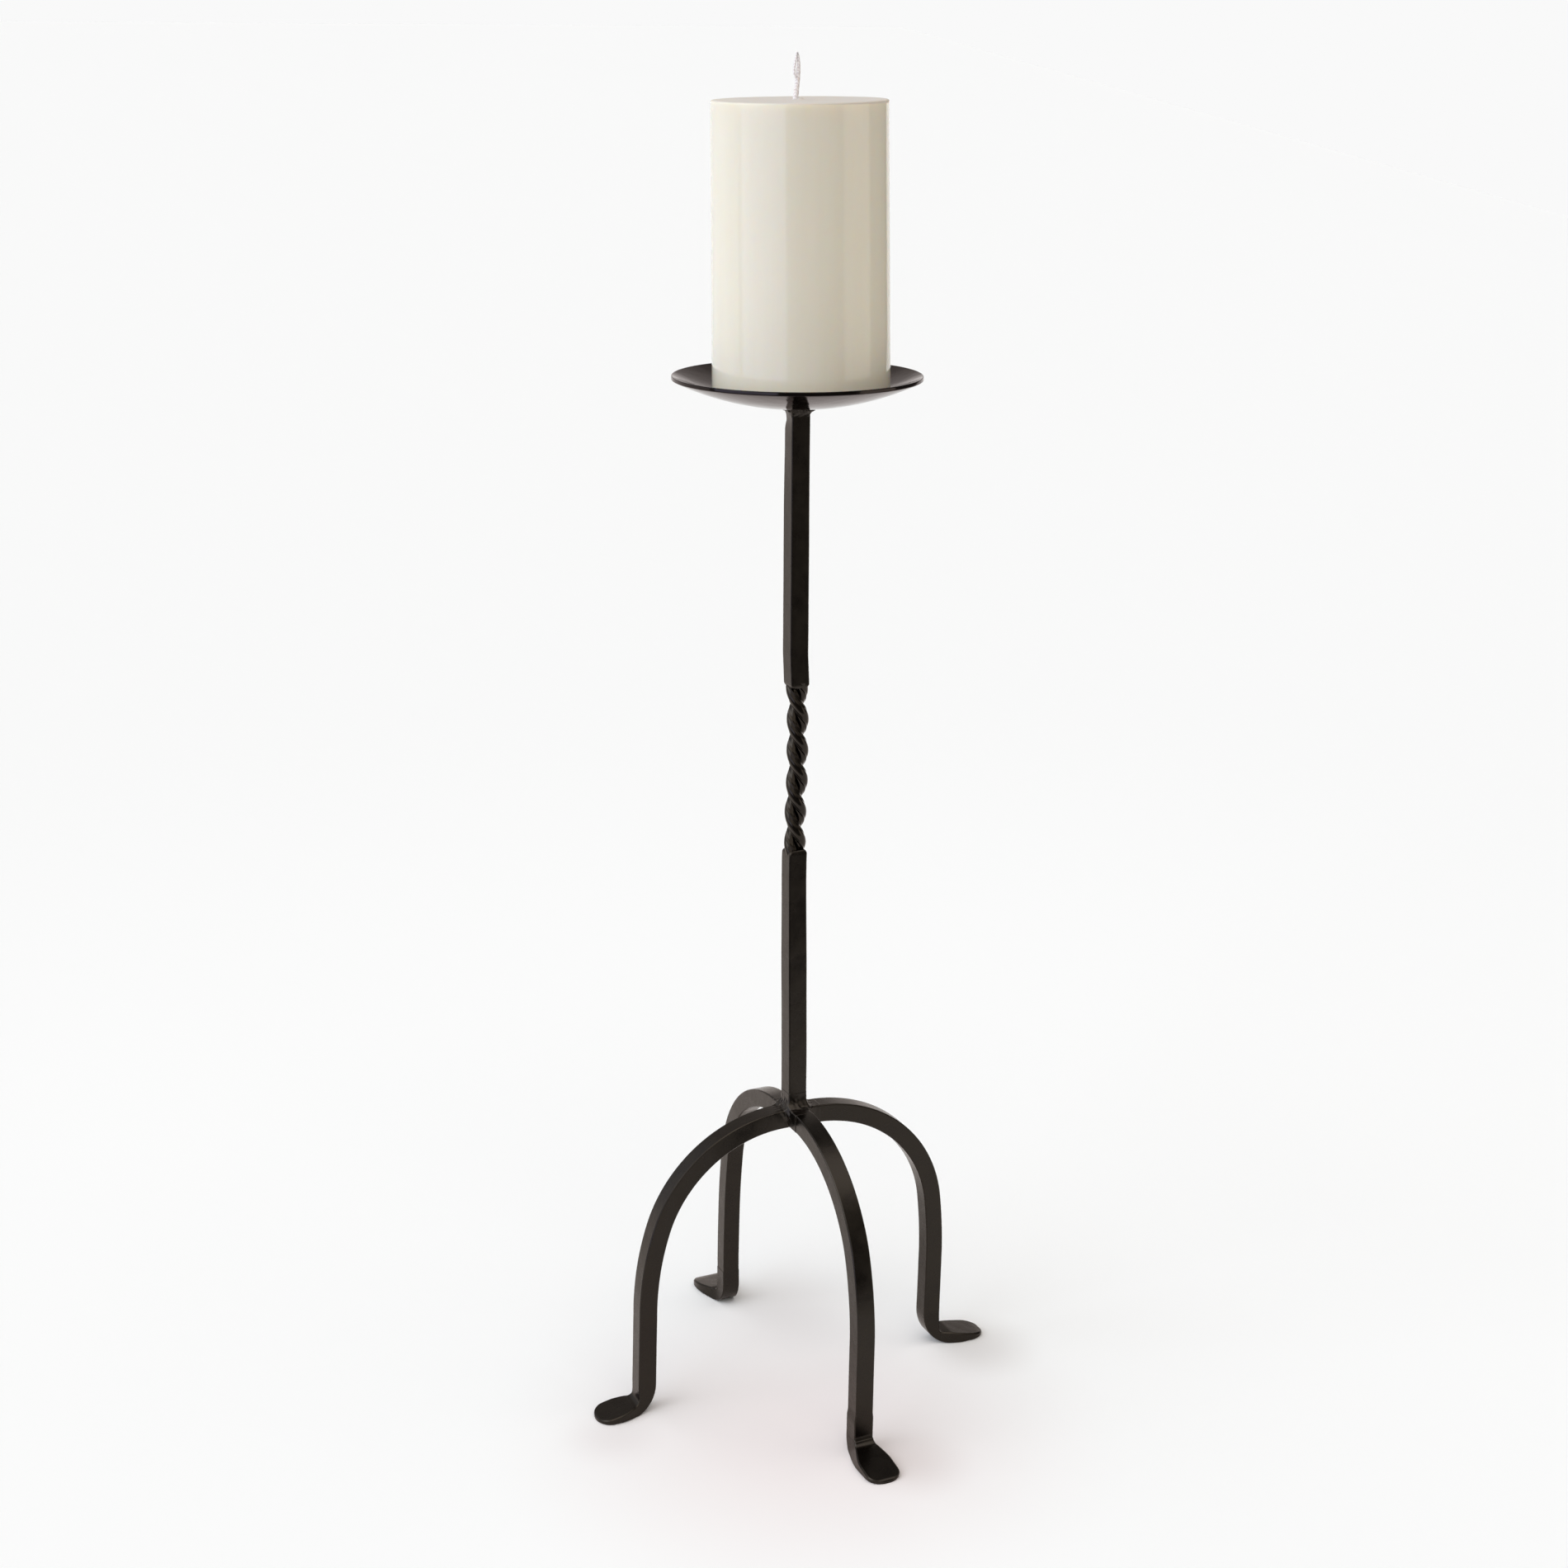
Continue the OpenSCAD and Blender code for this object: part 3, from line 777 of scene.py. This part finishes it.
def hairpin_wick():
    """A waxed braid that stands up out of the wax and is folded down on itself."""
    # Across the picture, towards the back, up from the candle's top, radius
    knots = np.array([
        (-1.75, 0, -2, 1.2), (-1.7, 0, 0.5, 1.16), (-1.45, 0, 3, 1.06), (-1.05, 0, 6, 0.98),
        (-0.75, 0, 8.5, 0.94), (-0.5, 0, 10.8, 0.84), (-0.3, 0, 14, 0.68), (-0.45, 0.05, 16.4, 0.56),
        (-0.75, 0.1, 18.4, 0.5), (-0.98, 0, 19.1, 0.46), (-1.2, -0.35, 17.9, 0.44), (-1.55, -0.7, 15.8, 0.46),
        (-1.95, -0.85, 14, 0.5), (-2.15, -0.95, 12, 0.52), (-2.15, -0.95, 10.6, 0.5), (-1.9, -0.9, 9.4, 0.44),
        (-1.5, -0.85, 8.5, 0.3)])
    stations, smoothings, around = 110, 10, 18
    # The braid's strands stand up as three ridges wound one way and three lower ones wound the other way
    plait, cross_plait, plait_run = 0.10, 0.05, 0.45
    along = np.concatenate([[0], np.cumsum(np.linalg.norm(np.diff(knots[:, :3], axis=0), axis=1))])
    fine = np.linspace(0, along[-1], stations)
    path = np.array([np.interp(fine, along, column) for column in knots.T]).T
    for _ in range(smoothings):
        path[1:-1] = (path[:-2] + 2 * path[1:-1] + path[2:]) / 4
    rings = []
    for k, (across, back, up, radius) in enumerate(path):
        tangent = Vector(path[min(k + 1, stations - 1), :3] - path[max(k - 1, 0), :3]).normalized()
        first = Vector((0, 1, 0))
        first = (first - tangent * first.dot(tangent)).normalized()
        second = tangent.cross(first)
        turn = fine[k] / plait_run
        ring = []
        for i in range(around):
            a = 2 * math.pi * i / around
            fat = 1 + plait * math.cos(3 * a + turn) + cross_plait * math.cos(3 * a - turn)
            spoke = first * math.cos(a) + second * math.sin(a)
            spot = Vector((across, back, CANDLE_TOP + up)) + spoke * radius * fat
            ring.append(slipped(*(RIGHT * spot[0] + BACK * spot[1] + UP * spot[2])))
        rings.append(ring)
    points, faces = loft(rings)
    make_piece("cotton_wick_hairpin", points, faces, cotton, "candle", "wick")


pillar_candle()
hairpin_wick()


# ---------------------------------------------------------------- studio

def studio_camera():
    """The photograph's own viewing angle, solved from the stem, the rim and the four feet."""
    # Metres from the stem and above the floor
    away, height = 1.0769, 0.6362
    dip, roll = math.radians(17.381), math.radians(0.3857)
    forward = BACK * math.cos(dip) - UP * math.sin(dip)
    up = RIGHT.cross(forward)
    x = RIGHT * math.cos(roll) + up * math.sin(roll)
    y = up * math.cos(roll) - RIGHT * math.sin(roll)
    data = bpy.data.cameras.new("photo_camera")
    data.sensor_width = 36
    data.lens = 57.67
    data.shift_x = -0.00681
    data.clip_start = 0.05
    data.clip_end = 500
    camera = bpy.data.objects.new("photo_camera", data)
    bpy.context.scene.collection.objects.link(camera)
    place = UP * height - BACK * away
    camera.matrix_world = Matrix.Translation(place) @ Matrix((x, y, -forward)).transposed().to_4x4()
    bpy.context.scene.camera = camera


def paper_floor():
    """White background paper, seamless and matt, with painted shade on it: a faint warm pool of painted shade
    under the stand, a tighter painted shadow beside each foot and a slight painted darkening far off."""
    # Painted shade pools: metres to the right and back from the stem, reach,
    # colour that the paper is multiplied by at the middle
    painted_shade_pools = ((0.007, -0.058, 0.158, "#f5eded"), (0.093, 0.026, 0.036, "#eeeceb"),
             (0.056, -0.078, 0.034, "#f2efee"), (-0.004, 0.066, 0.06, "#f5f3f3"),
             (-0.083, -0.058, 0.03, "#f7f5f5"))
    material, tree, surface = new_material("white_background_paper")
    place = add_node(tree, "ShaderNodeTexCoord").outputs["Object"]
    paper = add_node(tree, "ShaderNodeRGB").outputs[0]
    paper.default_value = colour("#f8f8f8")
    painted_shades = []
    # Each pool darkens the paper's colour towards its middle: painted shade
    for across, deep, reach, shade in painted_shade_pools:
        middle = RIGHT * across + BACK * deep
        far = add_node(tree, "ShaderNodeVectorMath", {"operation": "DISTANCE", 1: middle}, i0=place)
        fall = add_node(tree, "ShaderNodeMapRange",
                        {"interpolation_type": "SMOOTHSTEP", "From Min": 0.0, "From Max": reach,
                         "To Min": 1.0, "To Max": 0.0}, Value=far.outputs["Value"])
        painted_shades.append((fall.outputs[0], shade))
    # Painted shade: far off, the paper's colour is darkened a little
    away = add_node(tree, "ShaderNodeVectorMath", {"operation": "LENGTH"}, i0=place)
    turned = add_node(tree, "ShaderNodeMapRange",
                      {"interpolation_type": "SMOOTHSTEP", "From Min": 0.25, "From Max": 1.3},
                      Value=away.outputs["Value"])
    painted_shades.append((turned.outputs[0], "#fcfcfc"))
    for amount, shade in painted_shades:
        shaded = add_node(tree, "ShaderNodeMix",
                          {"data_type": "RGBA", "blend_type": "MULTIPLY", "B": colour(shade)},
                          Factor=amount, A=paper)
        paper = shaded.outputs["Result"]
    tree.links.new(paper, surface.inputs["Base Color"])
    surface.inputs["Roughness"].default_value = 0.9
    surface.inputs["Specular IOR Level"].default_value = 0.0
    # Metres: the paper ends in front of the stand, past the lower edge of the picture
    left, right, front, back = -60.0, 2.4, -0.32, 60.0
    corners = [RIGHT * across + BACK * deep
               for across, deep in ((left, front), (right, front), (right, back), (left, back))]
    mesh = bpy.data.meshes.new("paper_floor")
    mesh.from_pydata([tuple(corner) for corner in corners], [], [(0, 1, 2, 3)])
    mesh.materials.append(material)
    floor = bpy.data.objects.new("paper_floor", mesh)
    bpy.context.scene.collection.objects.link(floor)


def between(tree, value, low, high, soft):
    """1 where the value is between low and high, fading to 0 over twice the soft width at each end."""
    rise = add_node(tree, "ShaderNodeMapRange",
                    {"interpolation_type": "SMOOTHSTEP", "From Min": low - soft, "From Max": low + soft},
                    Value=value)
    fall = add_node(tree, "ShaderNodeMapRange",
                    {"interpolation_type": "SMOOTHSTEP", "From Min": high - soft, "From Max": high + soft,
                     "To Min": 1.0, "To Max": 0.0}, Value=value)
    both = add_node(tree, "ShaderNodeMath", {"operation": "MULTIPLY"}, i0=rise.outputs[0], i1=fall.outputs[0])
    return both.outputs[0]


def studio_room():
    """The room as the stand mirrors it: dark, with a cool window wall and its bright bands on the left, the
    white sweep behind, a warm wall and its band on the right, warm fill from high in front and a broad soft
    box overhead. The camera sees it as plain white."""
    warm, warmer, white = (1.0, 0.95, 0.87), (1.0, 0.94, 0.84), (1.0, 0.99, 0.98)
    dim, behind_left, behind_right, whole = (1.0, 0.95, 0.90), (-400, -138), (147, 400), (-400, 400)
    # Bearing from and to in degrees, its softness; height from and to as the sine of the angle, its softness;
    # strength; colour, as factors of red, green and blue. 400 degrees and a height of 9 are past all ends.
    panels = (
        (*whole, 1, -9, 9, 1, 0.07, dim),
        (-138, -18, 4, -0.08, 0.74, 0.12, 0.64, (0.91, 0.99, 1.11)),
        (-98, -56, 6, 0.08, 0.62, 0.08, 0.8, (0.93, 1.0, 1.08)),
        (-80, -18, 0.6, -0.17, 0.06, 0.02, 1.0, (0.90, 0.97, 1.40)),
        (*behind_left, 2, -9, 0.16, 0.12, 0.58, white),
        (*behind_left, 2, -9, 0.72, 0.35, 0.43, white),
        (*behind_right, 2, -9, 0.16, 0.12, 0.58, white),
        (*behind_right, 2, -9, 0.72, 0.35, 0.43, white),
        (-100, 140, 4, -9, -0.12, 0.03, 0.08, dim),
        (60, 105, 3, -0.42, -0.17, 0.03, 0.5, warm),
        (58, 100, 1, -0.17, 0.06, 0.02, 0.8, warm),
        (60, 100, 5, -9, 0.75, 0.15, 0.36, warmer),
        (60, 107, 10, 0.3, 0.95, 0.10, 0.15, warmer),
        (-20, 42, 12, 0.12, 0.95, 0.12, 0.8, (1.05, 1.0, 0.90)),
        (-140, 140, 15, 0.76, 9, 0.08, 1.35, (1.02, 1.0, 0.98)))
    world = bpy.data.worlds.new("studio_room")
    bpy.context.scene.world = world
    world.use_nodes = True
    tree = world.node_tree
    tree.nodes.clear()
    way = add_node(tree, "ShaderNodeTexCoord").outputs["Generated"]
    rightward = add_node(tree, "ShaderNodeVectorMath", {"operation": "DOT_PRODUCT", 1: RIGHT}, i0=way)
    forward = add_node(tree, "ShaderNodeVectorMath", {"operation": "DOT_PRODUCT", 1: -BACK}, i0=way)
    # Bearing in degrees: 0 is the photograph's side of the stand, positive to the right of the picture
    radians = add_node(tree, "ShaderNodeMath", {"operation": "ARCTAN2"},
                       i0=rightward.outputs["Value"], i1=forward.outputs["Value"])
    bearing = add_node(tree, "ShaderNodeMath", {"operation": "MULTIPLY", 1: 180 / math.pi},
                       i0=radians.outputs[0]).outputs[0]
    height = add_node(tree, "ShaderNodeSeparateXYZ", i0=way).outputs["Z"]
    room = None
    for left, right, soft_side, low, high, soft_height, strength, tint in panels:
        panel = add_node(tree, "ShaderNodeMath", {"operation": "MULTIPLY"},
                         i0=between(tree, bearing, left, right, soft_side),
                         i1=between(tree, height, low, high, soft_height))
        light = tuple(strength * c for c in tint)
        lit = add_node(tree, "ShaderNodeVectorMath", {"operation": "SCALE", 0: light},
                       Scale=panel.outputs[0]).outputs[0]
        if room is None:
            room = lit
        else:
            room = add_node(tree, "ShaderNodeVectorMath", {"operation": "ADD"}, i0=room, i1=lit).outputs[0]
    seen = add_node(tree, "ShaderNodeLightPath").outputs["Is Camera Ray"]
    pick = add_node(tree, "ShaderNodeMix", {"data_type": "RGBA", "B": colour("#f9f9f9")}, Factor=seen, A=room)
    ground = add_node(tree, "ShaderNodeBackground", {"Strength": 1.0}, Color=pick.outputs["Result"])
    add_node(tree, "ShaderNodeOutputWorld", Surface=ground.outputs[0])


def front_lamp():
    """One broad soft lamp, high on the front left."""
    data = bpy.data.lights.new("soft_high_light", "SUN")
    data.energy = 0.87
    data.color = (0.94, 1.0, 1.05)
    data.angle = math.radians(45)
    lamp = bpy.data.objects.new("soft_high_light", data)
    side, high = math.radians(-55), math.radians(38)
    toward = (RIGHT * math.sin(side) - BACK * math.cos(side)) * math.cos(high) + UP * math.sin(high)
    lamp.rotation_euler = (-toward).to_track_quat("-Z", "Y").to_euler()
    bpy.context.scene.collection.objects.link(lamp)


studio_camera()
paper_floor()
studio_room()
front_lamp()
# Colours as they are given, without a film curve
bpy.context.scene.view_settings.view_transform = "Standard"
